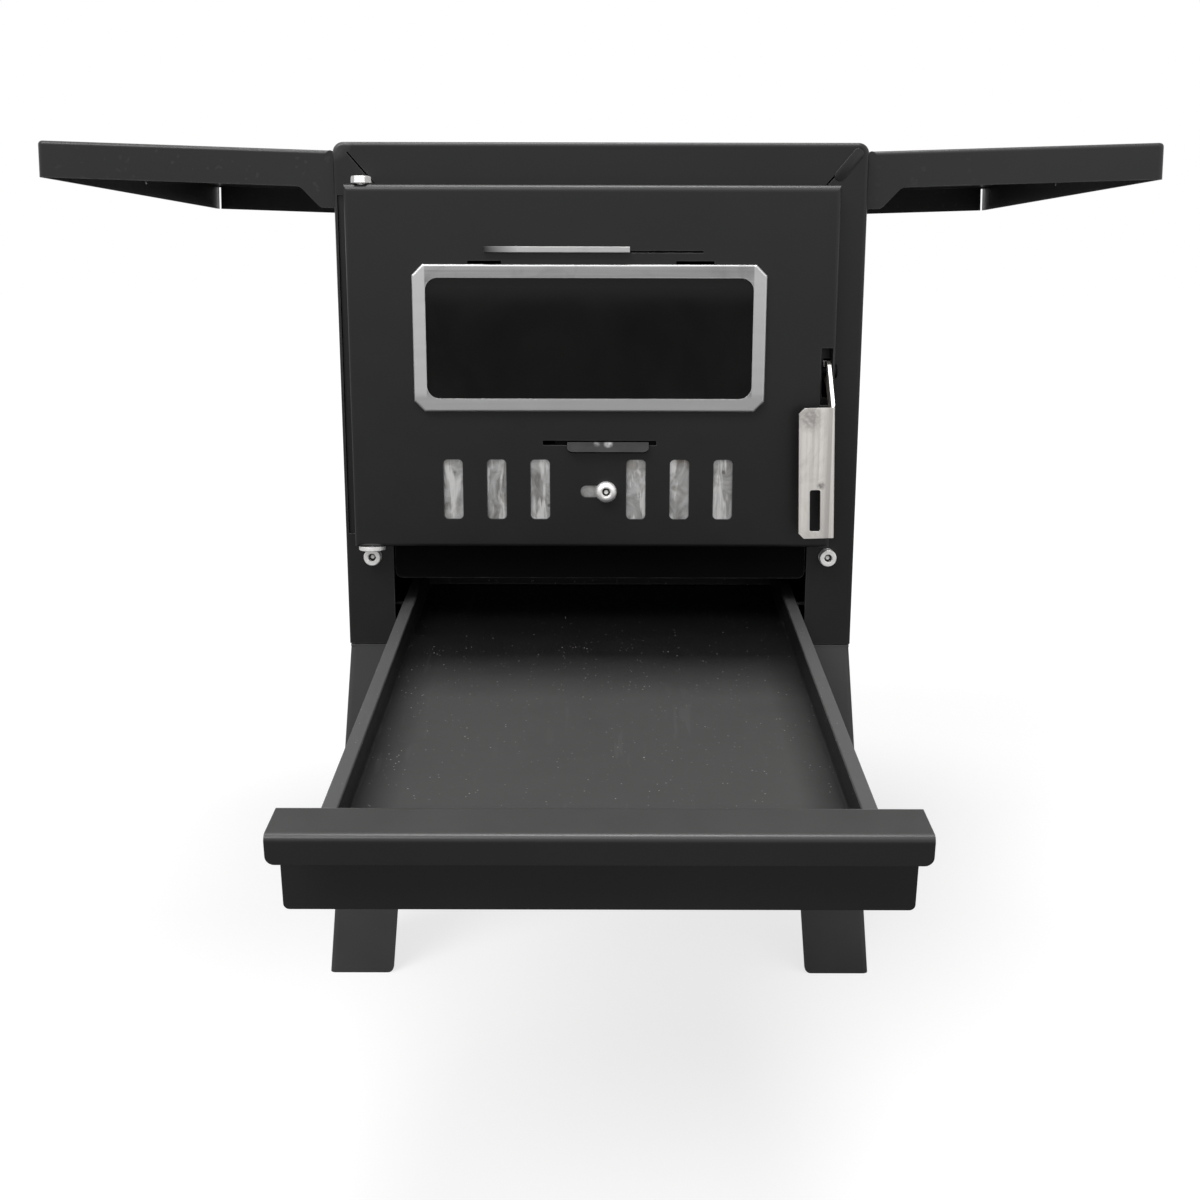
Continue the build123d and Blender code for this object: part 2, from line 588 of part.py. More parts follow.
with BuildPart() as shelf_pin_right:
    disc(shelf_end, 0, 0, pin_r, (-leaf[1], -leaf[0]))

with BuildPart() as shelf_pin_left:
    mirror(shelf_pin_right.part, about=Plane.YZ)

# Legs: folded angles that splay outwards, each with a flange screwed under the body.
rise = Vector(body_half - 0.5 - foot_half, leg_lean, flange_low)
with BuildPart() as leg_front_right:
    with BuildSketch(ground) as angle:
        with Locations((foot_half - leg_face / 2, 0.5 - leg_lean + leg_face / 2)):
            Rectangle(leg_face, leg_face)
            Rectangle(leg_face - 2 * sheet, leg_face - 2 * sheet, mode=Mode.SUBTRACT)
        with Locations((foot_half - leg_face, 0.5 - leg_lean + leg_face)):
            Rectangle(2 * leg_face - 2 * sheet, 2 * leg_face - 2 * sheet, mode=Mode.SUBTRACT)
        bend = angle.vertices().sort_by(Axis.X)[-2:].sort_by(Axis.Y)[0]
        fillet(bend, 3.2)
    extrude(angle.sketch, amount=rise.length, dir=rise.normalized())
    toes = [edge for edge in leg_front_right.edges() if abs(edge.length - sheet) < 0.01 and edge.center().Z < 0.1]
    fillet(toes, 4.0)
    u = (body_half - 0.5 - leg_face, body_half - 0.5)
    block(ground, u, (0.5, 0.5 + leg_face), (flange_low, body_low))
    fillet(at(leg_front_right.edges(), ground, u=body_half - 0.5, v=0.5), 1.8)
    fillet(at(leg_front_right.edges(), ground, v=0.5, w=body_low, u=(u[0] + u[1]) / 2, tol=2.5), 1.2)
    for x, y in leg_bolts:
        if x > 0 and y < 100:
            disc(ground, x, y, 3.2, (flange_low - 1, body_low + 1), Mode.SUBTRACT)

with BuildPart() as leg_front_left:
    mirror(leg_front_right.part, about=Plane.YZ)

middle = Plane(origin=(0, front_y + body_deep / 2, 0), x_dir=(1, 0, 0), z_dir=(0, 1, 0))
with BuildPart() as leg_rear_right:
    mirror(leg_front_right.part, about=middle)

with BuildPart() as leg_rear_left:
    mirror(leg_front_left.part, about=middle)

with BuildPart() as leg_screws:
    for x, y in leg_bolts:
        disc(ground, x, y, 5.2, (flange_low - 3.0, flange_low))
        disc(ground, x, y, 3.0, (flange_low, body_low + 9))
        hexagon(ground, x, y, 4.0, (flange_low - 4, flange_low - 1.4), Mode.SUBTRACT)

with BuildPart() as leg_nuts:
    for x, y in leg_bolts:
        hexagon(ground, x, y, 10.0, (body_low + sheet, body_low + sheet + 5))
        disc(ground, x, y, 3.0, (body_low, body_low + 12), Mode.SUBTRACT)

nodes = {
    "casing": casing,
    "rear_panel": rear_panel,
    "bottom_plate": bottom_plate,
    "support_rod": support_rod,
    "rail_right": rail_right,
    "rail_left": rail_left,
    "drawer_stops": drawer_stops,
    "firebox_floor": firebox_floor,
    "crossbar": crossbar,
    "cap_screws": cap_screws,
    "grate": grate,
    "baffle_plate": baffle_plate,
    "baffle_brackets": baffle_brackets,
    "flue_collar": flue_collar,
    "hinge_ears": hinge_ears,
    "hinge_plate": hinge_plate,
    "hinge_bolt": hinge_bolt,
    "hinge_pin": hinge_pin,
    "door_panel": door_panel,
    "window_frame": window_frame,
    "glass_pane": glass_pane,
    "glass_seal": glass_seal,
    "glass_retainer": glass_retainer,
    "slide_guides": slide_guides,
    "air_slider": air_slider,
    "knob_screw": knob_screw,
    "knob_nut": knob_nut,
    "airwash_lower": airwash_lower,
    "airwash_upper": airwash_upper,
    "latch_bracket": latch_bracket,
    "latch_pin": latch_pin,
    "latch_handle": latch_handle,
    "drawer_tray": drawer_tray,
    "drawer_front": drawer_front,
    "shelf_right": shelf_right,
    "shelf_left": shelf_left,
    "shelf_hinge_right": shelf_hinge_right,
    "shelf_hinge_left": shelf_hinge_left,
    "shelf_pin_right": shelf_pin_right,
    "shelf_pin_left": shelf_pin_left,
    "leg_front_right": leg_front_right,
    "leg_front_left": leg_front_left,
    "leg_rear_right": leg_rear_right,
    "leg_rear_left": leg_rear_left,
    "leg_screws": leg_screws,
    "leg_nuts": leg_nuts,
}
for name, node in nodes.items():
    node.part.label = name
    export_step(node.part, "parts/" + name + ".step")
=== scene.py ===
"""Looks of a folded sheet camping wood stove: finishes, small hardware, floor, lamps and camera."""

import logging
import math
from dataclasses import dataclass, field
from enum import Enum

import bmesh
import bpy
from mathutils import Matrix, Vector


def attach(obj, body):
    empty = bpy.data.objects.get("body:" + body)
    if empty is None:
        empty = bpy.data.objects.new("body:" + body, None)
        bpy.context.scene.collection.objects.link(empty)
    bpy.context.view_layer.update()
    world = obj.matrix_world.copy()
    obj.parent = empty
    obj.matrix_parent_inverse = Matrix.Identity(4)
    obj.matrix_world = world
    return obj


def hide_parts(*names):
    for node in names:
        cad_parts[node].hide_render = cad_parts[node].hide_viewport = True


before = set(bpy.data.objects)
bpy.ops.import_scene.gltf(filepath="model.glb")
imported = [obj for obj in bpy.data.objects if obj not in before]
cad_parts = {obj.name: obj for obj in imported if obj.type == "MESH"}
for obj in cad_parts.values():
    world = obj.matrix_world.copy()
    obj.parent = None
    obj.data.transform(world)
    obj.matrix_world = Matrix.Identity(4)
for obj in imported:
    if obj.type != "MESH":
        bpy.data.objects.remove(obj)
log = logging.getLogger("stove")

MM = 0.001
FRONT = -52.07
TAB_BEND = FRONT - 14.4
TAB_FACE = FRONT - 15.5
GRIP_FACE = FRONT - 31.0
EDGE_ANGLE = 0.6
BEVEL_SAMPLES = 4
RING_CORNERS = 60
FLOOR_REACH = 30000.0

Socket = bpy.types.NodeSocket
Colour = tuple[float, float, float]
Point = tuple[float, float, float]


def grey(level: float, warmth: float = 0.0) -> Colour:
    """A grey of the given linear level, a little redder than blue by its warmth."""
    return (level * (1 + warmth), level, level * (1 - warmth))


class Board:
    """The node tree of one finish, with the handful of nodes that every finish shares."""

    def __init__(self, name: str) -> None:
        """Starts a material with one shader in it.

        Args:
            name: The finish's name.
        """
        self.material = bpy.data.materials.new(name)
        self.material.use_nodes = True
        self.nodes = self.material.node_tree.nodes
        self.links = self.material.node_tree.links
        self.shader = self.nodes["Principled BSDF"]
        self.place = self.nodes.new("ShaderNodeTexCoord").outputs["Object"]

    def constant(self, socket: str, value: float | Colour) -> None:
        """Sets one of the shader's own sockets to a value that is the same everywhere."""
        if isinstance(value, tuple):
            self.shader.inputs[socket].default_value = (*value, 1.0)
        else:
            self.shader.inputs[socket].default_value = value

    def feed(self, node: bpy.types.Node, socket: str | int, value: Socket | float | Colour) -> None:
        """Links or sets an input.

        Args:
            node: The node that takes it.
            socket: The input's name or number.
            value: Another node's output, a number or a colour.
        """
        if isinstance(value, bpy.types.NodeSocket):
            self.links.new(value, node.inputs[socket])
        elif isinstance(value, tuple) and node.inputs[socket].type == "RGBA":
            node.inputs[socket].default_value = (*value, 1.0)
        else:
            node.inputs[socket].default_value = value

    def stretched(self, scale: Point, turn: Point = (0.0, 0.0, 0.0), shift: Point = (0.0, 0.0, 0.0)) -> Socket:
        """Object coordinates, turned, moved and scaled along each axis."""
        mapping = self.nodes.new("ShaderNodeMapping")
        self.feed(mapping, "Vector", self.place)
        mapping.inputs["Scale"].default_value = scale
        mapping.inputs["Rotation"].default_value = turn
        mapping.inputs["Location"].default_value = shift
        return mapping.outputs["Vector"]

    def noise(self, scale: float, detail: float = 2.0, rough: float = 0.5, bent: float = 0.0,
              place: Socket | None = None) -> Socket:
        """Soft random values.

        Args:
            scale: How many features there are in a metre.
            detail: How many finer layers are added.
            rough: How strong the finer layers are.
            bent: How far the pattern is pulled about.
            place: Coordinates to use in place of the object's own.

        Returns:
            The noise's value, around one half.
        """
        node = self.nodes.new("ShaderNodeTexNoise")
        self.feed(node, "Vector", place or self.place)
        self.feed(node, "Scale", scale)
        self.feed(node, "Detail", detail)
        self.feed(node, "Roughness", rough)
        self.feed(node, "Distortion", bent)
        return node.outputs["Fac"]

    def cells(self, scale: float) -> Socket:
        """Cell pattern, with so many cells in a metre: the distance from each cell's middle."""
        node = self.nodes.new("ShaderNodeTexVoronoi")
        self.feed(node, "Vector", self.place)
        self.feed(node, "Scale", scale)
        return node.outputs["Distance"]

    def remap(self, value: Socket, low: float, high: float, to_low: float = 0.0,
              to_high: float = 1.0) -> Socket:
        """Stretches a value from one range to another and holds it within the second."""
        node = self.nodes.new("ShaderNodeMapRange")
        for name, given in (("Value", value), ("From Min", low), ("From Max", high)):
            self.feed(node, name, given)
        self.feed(node, "To Min", to_low)
        self.feed(node, "To Max", to_high)
        return node.outputs["Result"]

    def maths(self, kind: str, first: Socket | float, second: Socket | float = 0.0) -> Socket:
        """One sum on two values."""
        node = self.nodes.new("ShaderNodeMath")
        node.operation = kind
        self.feed(node, 0, first)
        self.feed(node, 1, second)
        return node.outputs["Value"]

    def tint(self, share: Socket | float, first: Socket | Colour, second: Socket | Colour) -> Socket:
        """A colour between two others.

        Args:
            share: How far it goes to the second, from 0 to 1.
            first: The colour at 0.
            second: The colour at 1.

        Returns:
            The mixed colour.
        """
        node = self.nodes.new("ShaderNodeMix")
        node.data_type = "RGBA"
        self.feed(node, 0, share)
        self.feed(node, 6, first)
        self.feed(node, 7, second)
        return node.outputs[2]

    def bump(self, height: Socket, depth: float, under: Socket | None = None) -> Socket:
        """Relief on the surface.

        Args:
            height: The pattern that is high and low.
            depth: How deep it goes, in metres.
            under: A normal that it is laid over.

        Returns:
            The bent normal.
        """
        node = self.nodes.new("ShaderNodeBump")
        self.feed(node, "Height", height)
        self.feed(node, "Distance", depth)
        self.feed(node, "Strength", 1.0)
        if under is not None:
            self.feed(node, "Normal", under)
        return node.outputs["Normal"]

    def rounding(self, radius: float) -> Socket:
        """The normal as if every sharp edge were rounded by a radius in metres."""
        node = self.nodes.new("ShaderNodeBevel")
        node.samples = BEVEL_SAMPLES
        self.feed(node, "Radius", radius)
        return node.outputs["Normal"]

    def rubbed(self, radius: float) -> Socket:
        """How near a bend or edge is, from 0 on the flat to 1 on the edge itself."""
        bent = self.rounding(radius)
        flat = self.nodes.new("ShaderNodeNewGeometry").outputs["Normal"]
        node = self.nodes.new("ShaderNodeVectorMath")
        node.operation = "DOT_PRODUCT"
        self.links.new(bent, node.inputs[0])
        self.links.new(flat, node.inputs[1])
        return self.remap(node.outputs["Value"], 0.995, 0.8)

    def near(self, spot: Point, reach: float) -> Socket:
        """How near the surface is to a spot, both in millimetres: 1 close to it, 0 past its reach."""
        away = self.nodes.new("ShaderNodeVectorMath")
        away.operation = "DISTANCE"
        self.feed(away, 0, self.place)
        away.inputs[1].default_value = tuple(MM * value for value in spot)
        return self.remap(away.outputs["Value"], reach * MM, 0.3 * reach * MM)

    def socket_shade_ring(self, middle: tuple[float, float], radius: float) -> Socket:
        """A painted shade ring just inside a driver socket that points to the front, round a middle in X and Z,
        where the socket's walls fall dark.
        """
        away = self.nodes.new("ShaderNodeVectorMath")
        away.operation = "DISTANCE"
        self.feed(away, 0, self.stretched((1.0, 0.0, 1.0)))
        away.inputs[1].default_value = (MM * middle[0], 0.0, MM * middle[1])
        reach = radius * MM
        inner = self.remap(away.outputs["Value"], 0.4 * reach, 0.6 * reach)
        outer = self.remap(away.outputs["Value"], 1.02 * reach, 0.95 * reach)
        return self.maths("MULTIPLY", inner, outer)

    def upward(self) -> Socket:
        """How far the surface faces up, from 0 on a wall to 1 on a floor."""
        split = self.nodes.new("ShaderNodeSeparateXYZ")
        self.feed(split, 0, self.nodes.new("ShaderNodeNewGeometry").outputs["Normal"])
        return self.remap(split.outputs["Z"], 0.7, 0.97)

    def along(self, axis: str, start: float, stop: float) -> Socket:
        """A value that falls from 1 to 0 between two places along an axis, in millimetres."""
        split = self.nodes.new("ShaderNodeSeparateXYZ")
        self.feed(split, 0, self.place)
        return self.remap(split.outputs[axis], start * MM, stop * MM, 1.0, 0.0)

    def finish(self, colour: Socket | Colour, rough: Socket | float,
               normal: Socket | None = None) -> bpy.types.Material:
        """Plugs the patterns into the shader.

        Args:
            colour: The base colour.
            rough: The roughness.
            normal: The normal, where the surface has relief.

        Returns:
            The finished material.
        """
        self.feed(self.shader, "Base Color", colour)
        self.feed(self.shader, "Roughness", rough)
        if normal is not None:
            self.feed(self.shader, "Normal", normal)
        return self.material


class Grain(Enum):
    """Which way a rolled or brushed sheet's grain runs."""

    ACROSS = (6.0, 500.0, 500.0)
    UPWARDS = (500.0, 500.0, 6.0)


@dataclass(frozen=True)
class HeatPaint:
    """Satin black heat-resistant paint on folded sheet, rubbed a little paler along its bends."""

    name: str
    level: float = 0.016
    roughness: float = 0.32
    gloss: float = 0.38
    specks: float = 0.0
    scratches: float = 0.0
    edge: float = 0.6
    dust_and_top_light: float = 0.0
    rubs_and_shade: tuple[tuple[Point, float, float], ...] = ()
    painted_light_zones: tuple[tuple[str, float, float, float], ...] = ()

    def material(self) -> bpy.types.Material:
        """Makes the paint: uneven satin, fine orange peel, rubbed spots and black spots of painted shade,
        up-facing faces paler with dust and painted top light, painted shade and highlight bands, dust specks
        and hairline scratches.
        """
        board = Board(self.name)
        cloud = board.noise(9.0, 3.0, 0.55)
        streak = board.noise(60.0, 3.0, 0.6, 0.4)
        colour = board.tint(board.remap(cloud, 0.3, 0.7), grey(self.level * 0.85), grey(self.level * 1.2))
        rough = board.remap(streak, 0.3, 0.7, self.roughness - 0.02, self.roughness + 0.03)
        # Up-facing faces are tinted paler: dust and painted top light.
        if self.dust_and_top_light:
            colour = board.tint(board.upward(), colour, grey(self.dust_and_top_light, 0.01))
        # Bands along an axis: painted shade and painted highlights.
        for axis, start, stop, level in self.painted_light_zones:
            colour = board.tint(board.along(axis, start, stop), colour, grey(level))
        edge = board.maths("MULTIPLY", board.rubbed(0.0009), self.edge)
        edge = board.maths("MULTIPLY", edge, board.remap(board.noise(110.0, 3.0), 0.35, 0.65, 0.35, 1.0))
        colour = board.tint(edge, colour, grey(0.16))
        # Spots round given points: rubbed paler spots, and black spots that are painted shade.
        for spot, reach, level in self.rubs_and_shade:
            near = board.maths("MULTIPLY", board.near(spot, reach),
                               board.remap(board.noise(160.0, 4.0, 0.6), 0.3, 0.7, 0.5, 1.0))
            colour = board.tint(near, colour, grey(level))
        if self.specks:
            dots = board.remap(board.cells(330.0), 0.13, 0.08)
            where = board.remap(board.noise(110.0, 2.0, 0.6), 0.62 - 0.16 * self.specks, 0.66)
            colour = board.tint(board.maths("MULTIPLY", dots, where), colour, grey(0.36, 0.04))
        height = board.noise(900.0, 2.0, 0.5)
        if self.scratches:
            lines = self.hairlines(board)
            colour = board.tint(board.maths("MULTIPLY", lines, 0.3 * self.scratches), colour, grey(0.16))
            height = board.maths("SUBTRACT", height, board.maths("MULTIPLY", lines, 0.6 * self.scratches))
        board.constant("Specular IOR Level", self.gloss)
        normal = board.bump(height, 0.000006, board.rounding(0.0004))
        return board.finish(colour, rough, normal)

    def hairlines(self, board: Board) -> Socket:
        """Thin scratches that run mostly in and out, where something slid over the surface."""
        found = None
        for turn, seed in ((0.12, 0.0), (-0.2, 3.1), (0.9, 7.7)):
            place = board.stretched((170.0, 2.2, 170.0), (0.0, 0.0, turn), (seed, seed, 0.0))
            thin = board.remap(board.noise(1.0, 1.0, 0.5, 0.0, place), 0.705, 0.74)
            found = thin if found is None else board.maths("MAXIMUM", found, thin)
        patch = board.remap(board.noise(7.0, 2.0), 0.42, 0.62)
        return board.maths("MULTIPLY", found, patch)


@dataclass(frozen=True)
class SheetSteel:
    """Bare stainless or zinc-plated steel with its rolled or brushed grain."""

    name: str
    level: float = 0.6
    warmth: float = 0.0
    roughness: float = 0.34
    grain: Grain = Grain.ACROSS
    brushed: float = 0.5
    smudges: float = 0.3
    edge: float = 0.5
    painted_light_zones: tuple[tuple[str, float, float, float], ...] = ()
    dents: tuple[tuple[Point, float, float], ...] = ()
    socket_shades: tuple[tuple[float, float, float], ...] = ()

    def material(self) -> bpy.types.Material:
        """Makes the metal: grain in colour, gloss and relief, smudges, painted shade and highlight bands, spots
        of another tone, painted shade rings in driver sockets and bright cut edges that are a painted
        highlight.
        """
        board = Board(self.name)
        place = board.stretched(self.grain.value)
        lines = board.noise(1.0, 4.0, 0.65, 0.0, place)
        broad = board.noise(1.0, 2.0, 0.5, 0.0, board.stretched(tuple(0.12 * s for s in self.grain.value)))
        smudge = board.remap(board.noise(38.0, 4.0, 0.6, 1.2), 0.5, 0.72)
        shade = board.maths("ADD", board.maths("MULTIPLY", lines, 0.6), board.maths("MULTIPLY", broad, 0.4))
        low = grey(self.level * (1 - 0.3 * self.brushed), self.warmth)
        high = grey(self.level * (1 + 0.12 * self.brushed), self.warmth)
        colour = board.tint(board.remap(shade, 0.35, 0.65), low, high)
        dull = board.maths("MULTIPLY", smudge, self.smudges)
        colour = board.tint(dull, colour, grey(self.level * 0.4, self.warmth + 0.03))
        # Cut edges are tinted pale: a painted highlight.
        edge = board.maths("MULTIPLY", board.rubbed(0.0007), self.edge)
        colour = board.tint(edge, colour, grey(0.86, 0.01))
        # Bands along an axis: painted shade and painted highlights.
        for axis, start, stop, level in self.painted_light_zones:
            colour = board.tint(board.along(axis, start, stop), colour, grey(level, self.warmth))
        for spot, reach, level in self.dents:
            rough_spot = board.maths("MULTIPLY", board.near(spot, reach),
                                     board.remap(board.noise(420.0, 3.0, 0.6), 0.35, 0.6, 0.35, 1.0))
            colour = board.tint(rough_spot, colour, grey(level, self.warmth))
        # A dark ring inside each driver socket: painted shade.
        for x, z, radius in self.socket_shades:
            colour = board.tint(board.socket_shade_ring((x, z), radius), colour, grey(0.02))
        rough = board.remap(lines, 0.3, 0.7, self.roughness - 0.06, self.roughness + 0.1)
        rough = board.maths("ADD", rough, board.maths("MULTIPLY", dull, 0.12))
        board.constant("Metallic", 1.0)
        normal = board.bump(lines, 0.000012 * self.brushed, board.rounding(0.0003))
        return board.finish(colour, rough, normal)


@dataclass(frozen=True)
class ZincSheet:
    """Galvanised sheet: soft pale and dark clouds with heat stains, white runs and small burnt spots."""

    name: str
    level: float = 0.6

    def material(self) -> bpy.types.Material:
        """Makes the zinc's clouds, stains, runs and spots."""
        board = Board(self.name)
        cloud = board.noise(62.0, 5.0, 0.6, 0.9)
        runs = board.noise(1.0, 3.0, 0.6, 0.6, board.stretched((170.0, 170.0, 34.0)))
        low, high = grey(self.level * 0.42, 0.03), grey(self.level * 1.05)
        colour = board.tint(board.remap(cloud, 0.36, 0.6), low, high)
        colour = board.tint(board.remap(runs, 0.5, 0.6, 0.0, 0.85), colour, grey(0.88, 0.01))
        stain = board.remap(board.noise(85.0, 3.0, 0.5, 0.4), 0.56, 0.68, 0.0, 0.5)
        colour = board.tint(stain, colour, grey(0.2, 0.16))
        spots = board.maths("MULTIPLY", board.remap(board.cells(140.0), 0.2, 0.12),
                            board.remap(board.noise(60.0, 1.0), 0.55, 0.62))
        colour = board.tint(board.maths("MULTIPLY", spots, 0.7), colour, grey(0.09, 0.05))
        rough = board.remap(cloud, 0.3, 0.7, 0.5, 0.36)
        board.constant("Metallic", 0.85)
        height = board.maths("ADD", cloud, board.maths("MULTIPLY", runs, 0.5))
        return board.finish(colour, rough, board.bump(height, 0.00004, board.rounding(0.0003)))


@dataclass(frozen=True)
class CastIron:
    """Sand-cast iron, matt and pitted, with a dusting of ash."""

    name: str

    def material(self) -> bpy.types.Material:
        """Makes the casting's skin and the ash that lies on it."""
        board = Board(self.name)
        skin = board.noise(420.0, 4.0, 0.7)
        pits = board.remap(board.cells(300.0), 0.0, 0.35)
        ash = board.remap(board.noise(55.0, 4.0, 0.65), 0.52, 0.75, 0.0, 0.5)
        colour = board.tint(board.remap(skin, 0.3, 0.7), grey(0.012, 0.05), grey(0.035, 0.06))
        colour = board.tint(ash, colour, grey(0.16, 0.05))
        height = board.maths("ADD", skin, board.maths("MULTIPLY", pits, 0.5))
        board.constant("Specular IOR Level", 0.3)
        return board.finish(colour, 0.78, board.bump(height, 0.0002, board.rounding(0.0008)))


@dataclass(frozen=True)
class StovePane:
    """Heat-resistant glass, tinted by soot, clean and glossy outside."""

    name: str

    def material(self) -> bpy.types.Material:
        """Makes the pane: a dark see-through body with a faint haze near its edges."""
        board = Board(self.name)
        haze = board.remap(board.noise(16.0, 3.0, 0.6, 0.5), 0.35, 0.7)
        colour = board.tint(haze, grey(0.004), grey(0.011, 0.04))
        board.constant("Transmission Weight", 0.25)
        board.constant("IOR", 1.47)
        board.constant("Specular IOR Level", 0.14)
        return board.finish(colour, board.remap(haze, 0.0, 1.0, 0.05, 0.08))


@dataclass(frozen=True)
class WovenSeal:
    """Flat glass-fibre tape, blackened with graphite, under the pane."""

    name: str

    def material(self) -> bpy.types.Material:
        """Makes the tape's fine plaited weave."""
        board = Board(self.name)
        wave = board.nodes.new("ShaderNodeTexWave")
        board.feed(wave, "Vector", board.stretched((1.0, 1.0, 1.0), (0.0, 0.785, 0.0)))
        board.feed(wave, "Scale", 320.0)
        board.feed(wave, "Distortion", 1.5)
        colour = board.tint(wave.outputs["Fac"], grey(0.012), grey(0.05))
        board.constant("Specular IOR Level", 0.2)
        return board.finish(colour, 0.85, board.bump(wave.outputs["Fac"], 0.0002))


class RingStack:
    """A turned or hexagonal part, skinned over rings that lie one above another."""

    def __init__(self, foot: Point, axis: Point) -> None:
        """Starts an empty stack.

        Args:
            foot: Where its own zero height lies, in millimetres in the row frame.
            axis: Which way it grows.
        """
        self.mesh = bmesh.new()
        turn = Vector((0, 0, 1)).rotation_difference(Vector(axis)).to_matrix().to_4x4()
        self.place = Matrix.Translation(Vector(foot)) @ turn
        self.last: list[bmesh.types.BMEdge] = []

    def ring(self, radius: float, height: float, sides: int = 0, slope: float = 0.0,
             notch: float = 0.0) -> "RingStack":
        """Adds a ring and skins it to the one before.

        Args:
            radius: Its radius, or half the width across flats.
            height: How high it lies.
            sides: How many flats it has, or 0 where it is round.
            slope: How fast the ring drops as it goes further out than its radius, as a hexagon's corners do.
            notch: How much every other corner is pulled in, for knurling.

        Returns:
            The stack itself.
        """
        made = bmesh.ops.create_circle(self.mesh, segments=RING_CORNERS, radius=radius)["verts"]
        edges = list({edge for vert in made for edge in vert.link_edges})
        for vert in made:
            if sides:
                off = math.remainder(math.atan2(vert.co.y, vert.co.x) - math.pi / sides, 2 * math.pi / sides)
                vert.co.xy /= math.cos(off)
            vert.co.z = height - slope * max(0.0, vert.co.xy.length - radius)
        if notch:
            by_angle = sorted(made, key=lambda vert: math.atan2(vert.co.y, vert.co.x))
            bmesh.ops.scale(self.mesh, vec=(1 - notch, 1 - notch, 1), verts=by_angle[::2])
        if self.last:
            bmesh.ops.bridge_loops(self.mesh, edges=self.last + edges)
        self.last = edges
        return self

    def close(self) -> "RingStack":
        """Closes the stack over its last ring."""
        bmesh.ops.contextual_create(self.mesh, geom=self.last)
        return self

    def done(self, name: str) -> bpy.types.Object:
        """Finishes the stack as an object.

        Args:
            name: The piece's name.

        Returns:
            The new object, at the origin, its place in its mesh.
        """
        bmesh.ops.holes_fill(self.mesh, edges=self.mesh.edges, sides=0)
        bmesh.ops.transform(self.mesh, matrix=self.place, verts=self.mesh.verts)
        return to_object(self.mesh, name)


def to_object(mesh: bmesh.types.BMesh, name: str) -> bpy.types.Object:
    """Turns a mesh drawn in millimetres into an object in metres, its steep edges sharp.

    Args:
        mesh: The mesh, which is freed.
        name: The object's name.

    Returns:
        The new object.
    """
    bmesh.ops.scale(mesh, vec=(MM, MM, MM), verts=mesh.verts)
    bmesh.ops.remove_doubles(mesh, verts=mesh.verts, dist=1e-6)
    bmesh.ops.recalc_face_normals(mesh, faces=mesh.faces)
    for face in mesh.faces:
        face.smooth = True
    for edge in mesh.edges:
        if len(edge.link_faces) != 2 or edge.calc_face_angle() > EDGE_ANGLE:
            edge.smooth = False
    data = bpy.data.meshes.new(name)
    mesh.to_mesh(data)
    mesh.free()
    piece = bpy.data.objects.new(name, data)
    bpy.context.scene.collection.objects.link(piece)
    return piece


class Assembly:
    """A group of nodes and pieces that belong together, with the finishes they wear."""

    def dress(self, finishes: "Finishes") -> None:
        """Gives the group's nodes their finishes."""

    def build(self, finishes: "Finishes") -> None:
        """Makes the pieces that are shown finer than the nodes. Most groups have none."""

    def paint(self, finish: bpy.types.Material, *nodes: str) -> None:
        """Gives nodes of the frame a finish.

        Args:
            finish: The material.
            nodes: The nodes' names.
        """
        for name in nodes:
            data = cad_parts[name].data
            data.materials.clear()
            data.materials.append(finish)
            log.info("dressed %s in %s", name, finish.name)

    def fit(self, piece: bpy.types.Object, body: str, slot: str, finish: bpy.types.Material,
            *stands_for: str) -> None:
        """Puts a new piece on its body.

        Args:
            piece: The piece, in place.
            body: The body that it moves with.
            slot: The slot for its finish; it is not used.
            finish: The material.
            stands_for: The nodes that it is shown in place of.
        """
        piece.data.materials.clear()
        piece.data.materials.append(finish)
        if stands_for:
            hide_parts(*stands_for)
        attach(piece, body)
        log.info("made %s on %s", piece.name, body)


Finish = HeatPaint | SheetSteel | ZincSheet | CastIron | StovePane | WovenSeal


def worn(finish: Finish) -> bpy.types.Material:
    """A dataclass field that makes a finish's material when the whole set is made.

    Args:
        finish: The finish.

    Returns:
        The field, which comes to hold the material.
    """
    return field(default_factory=finish.material)


